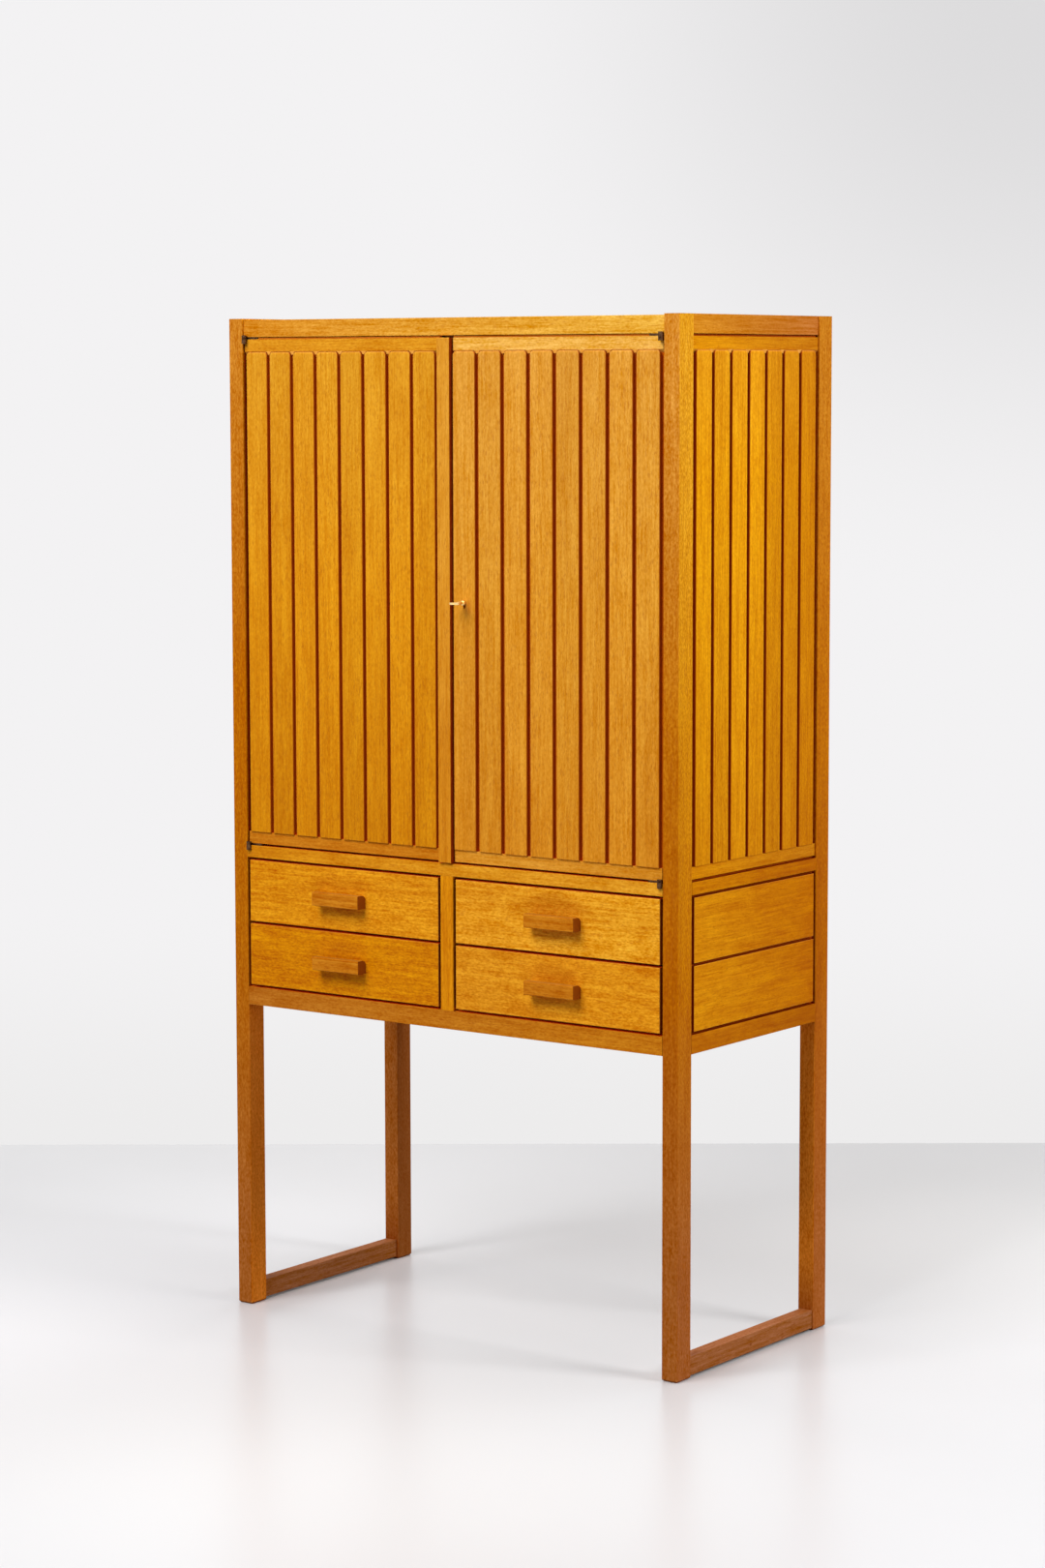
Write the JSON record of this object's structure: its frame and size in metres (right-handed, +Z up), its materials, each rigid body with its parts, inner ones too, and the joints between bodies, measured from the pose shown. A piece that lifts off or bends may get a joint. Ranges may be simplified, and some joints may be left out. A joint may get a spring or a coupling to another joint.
{
  "type": "slatted door cabinet",
  "caption": "Tall wooden cabinet on open leg frames: slatted doors swing on knuckle hinges and lock with a key, over drawers with bar pulls; shelves inside.",
  "frame": {"origin": "on the floor, under the middle of the whole cabinet with its key, which reaches 33 mm out in front", "axes": "+X to the right seen from the front, +Y towards the back, +Z up; doors and drawers face -Y"},
  "size_m": [0.89, 0.473, 1.65],
  "materials": {
    "leg_wood": "satin lacquer",
    "rail_wood": "satin lacquer",
    "slat_wood": "satin lacquer",
    "drawer_wood": "satin lacquer",
    "pull_wood": "satin lacquer",
    "inside_wood": "satin lacquer",
    "brass": "polished",
    "dark_brass": "patinated"
  },
  "bodies": {
    "cabinet": {"back_panel": "inside_wood", "bottom_rail_front": "rail_wood", "bottom_rail_left": "rail_wood", "bottom_rail_rear": "rail_wood", "bottom_rail_right": "rail_wood", "case_bottom": "inside_wood", "cupboard_floor": "inside_wood", "door_stop": "slat_wood", "drawer_divider": "rail_wood", "drawer_runners": "inside_wood", "foot_rail_left": "leg_wood", "foot_rail_right": "leg_wood", "hinge_case_leaves": "dark_brass", "mid_rail_front": "rail_wood", "mid_rail_left": "rail_wood", "mid_rail_rear": "rail_wood", "mid_rail_right": "rail_wood", "post_front_left": "leg_wood", "post_front_right": "leg_wood", "post_rear_left": "leg_wood", "post_rear_right": "leg_wood", "shelf_pins": "brass", "shelves": "inside_wood", "side_aprons_left": "slat_wood", "side_aprons_right": "slat_wood", "side_boards_left": "slat_wood", "side_boards_right": "slat_wood", "side_slats_left": "slat_wood", "side_slats_right": "slat_wood", "side_trims_left": "slat_wood", "side_trims_right": "slat_wood", "top_panel": "inside_wood", "top_rail_front": "rail_wood", "top_rail_left": "rail_wood", "top_rail_rear": "rail_wood", "top_rail_right": "rail_wood"},
    "door_left": {"door_left_board": "slat_wood", "door_left_hinge_leaves": "dark_brass", "door_left_rails": "slat_wood", "door_left_slats": "slat_wood", "door_left_stile": "slat_wood"},
    "door_right": {"door_right_board": "slat_wood", "door_right_hinge_leaves": "dark_brass", "door_right_rails": "slat_wood", "door_right_slats": "slat_wood", "lock_case": "brass"},
    "key": {"key": "brass"},
    "lock_bolt": {"lock_bolt": "brass"},
    "drawer_upper_left": {"drawer_upper_left_box": "inside_wood", "drawer_upper_left_front": "drawer_wood", "drawer_upper_left_pull": "pull_wood"},
    "drawer_upper_right": {"drawer_upper_right_box": "inside_wood", "drawer_upper_right_front": "drawer_wood", "drawer_upper_right_pull": "pull_wood"},
    "drawer_lower_left": {"drawer_lower_left_box": "inside_wood", "drawer_lower_left_front": "drawer_wood", "drawer_lower_left_pull": "pull_wood"},
    "drawer_lower_right": {"drawer_lower_right_box": "inside_wood", "drawer_lower_right_front": "drawer_wood", "drawer_lower_right_pull": "pull_wood"}
  },
  "joints": [
    {"name": "door_left_swing", "type": "hinge", "parent": "cabinet", "child": "door_left", "pos_m": [-0.4115, -0.205, 0.781], "axis": [0, 0, -1], "range_deg": [0, 170]},
    {"name": "door_right_swing", "type": "hinge", "parent": "cabinet", "child": "door_right", "pos_m": [0.4115, -0.205, 0.781], "axis": [0, 0, 1], "range_deg": [0, 170]},
    {"name": "drawer_upper_left_slide", "type": "slide", "parent": "cabinet", "child": "drawer_upper_left", "axis": [0, -1, 0], "range_m": [0, 0.3]},
    {"name": "drawer_upper_right_slide", "type": "slide", "parent": "cabinet", "child": "drawer_upper_right", "axis": [0, -1, 0], "range_m": [0, 0.3]},
    {"name": "drawer_lower_left_slide", "type": "slide", "parent": "cabinet", "child": "drawer_lower_left", "axis": [0, -1, 0], "range_m": [0, 0.3]},
    {"name": "drawer_lower_right_slide", "type": "slide", "parent": "cabinet", "child": "drawer_lower_right", "axis": [0, -1, 0], "range_m": [0, 0.3]},
    {"name": "key_turn", "type": "hinge", "parent": "door_right", "child": "key", "pos_m": [0.037, -0.2035, 1.1996], "axis": [0, 1, 0], "range_deg": [0, 180]},
    {"name": "bolt_throw", "type": "slide", "parent": "door_right", "child": "lock_bolt", "axis": [-1, 0, 0], "range_m": [0, 0.008]}
  ],
  "couplings": [
    {"joint": "bolt_throw", "follows": "key_turn", "m_per_rad": 0.0025465}
  ]
}
